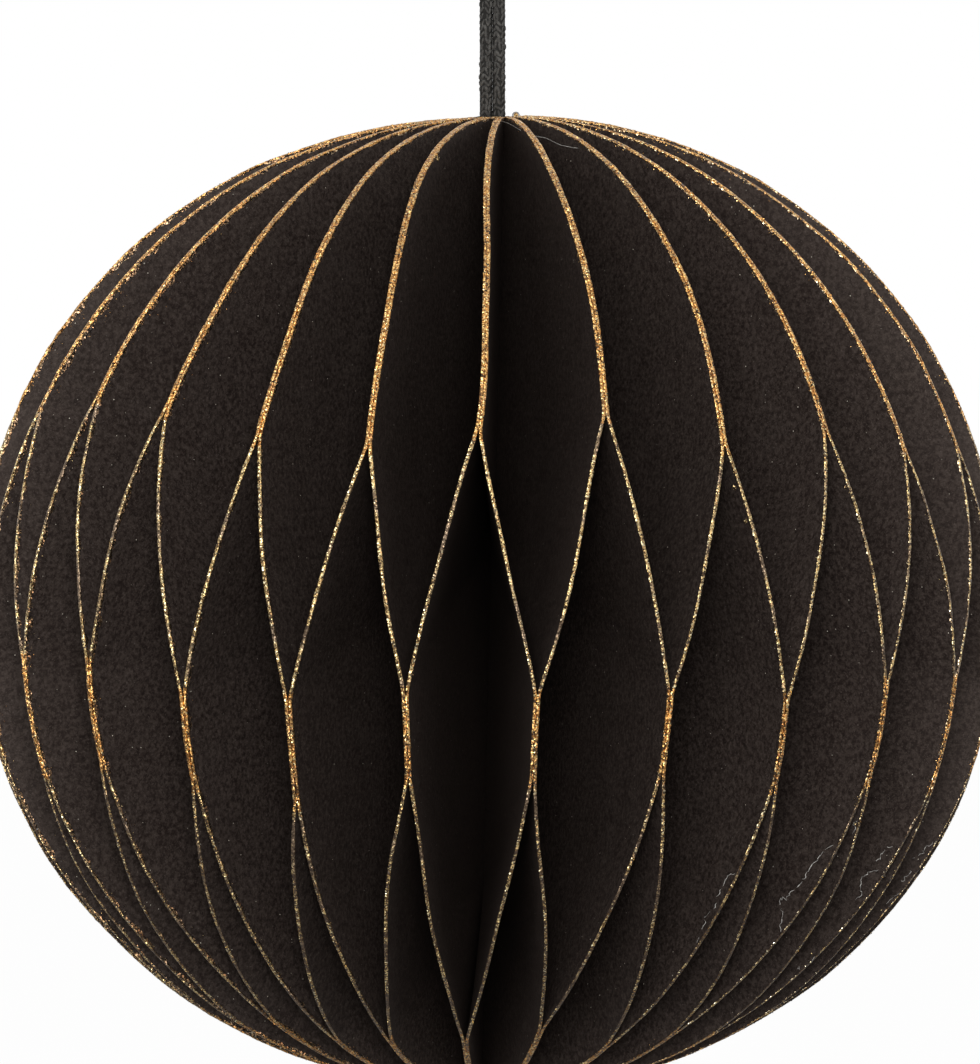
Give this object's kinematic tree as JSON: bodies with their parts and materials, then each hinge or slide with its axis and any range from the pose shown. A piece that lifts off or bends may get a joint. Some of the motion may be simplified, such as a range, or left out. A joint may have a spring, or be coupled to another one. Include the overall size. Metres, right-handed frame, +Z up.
{
  "type": "honeycomb paper ball ornament",
  "caption": "Round hanging ornament of black card half discs glued by turns into cells, with gold rims and a doubled black hanging cord.",
  "frame": {"origin": "middle of the ball, on the axis of its open core", "axes": "+Z up along the core, to the pole that the cord leaves; the pictured side faces -Y"},
  "size_m": [0.1006, 0.1005, 0.1396],
  "materials": {
    "card": "matt",
    "cord": "matt"
  },
  "bodies": {
    "root": {"leaf_01": "card", "leaf_02": "card", "leaf_03": "card", "leaf_04": "card", "leaf_05": "card", "leaf_06": "card", "leaf_07": "card", "leaf_08": "card", "leaf_09": "card", "leaf_10": "card", "leaf_11": "card", "leaf_12": "card", "leaf_13": "card", "leaf_14": "card", "leaf_15": "card", "leaf_16": "card", "leaf_17": "card", "leaf_18": "card", "leaf_19": "card", "leaf_20": "card", "leaf_21": "card", "leaf_22": "card", "leaf_23": "card", "leaf_24": "card", "leaf_25": "card", "leaf_26": "card", "leaf_27": "card", "leaf_28": "card", "leaf_29": "card", "leaf_30": "card", "leaf_31": "card", "leaf_32": "card", "leaf_33": "card", "leaf_34": "card", "leaf_35": "card", "leaf_36": "card", "leaf_37": "card", "leaf_38": "card", "leaf_39": "card", "leaf_40": "card", "leaf_41": "card", "leaf_42": "card", "leaf_43": "card", "leaf_44": "card", "leaf_45": "card", "leaf_46": "card", "leaf_47": "card", "leaf_48": "card", "leaf_49": "card", "leaf_50": "card", "cord_leg_left": "cord", "cord_leg_right": "cord", "cord_knot": "cord", "cord_loop": "cord", "cord_anchor_knot": "cord"}
  },
  "joints": []
}
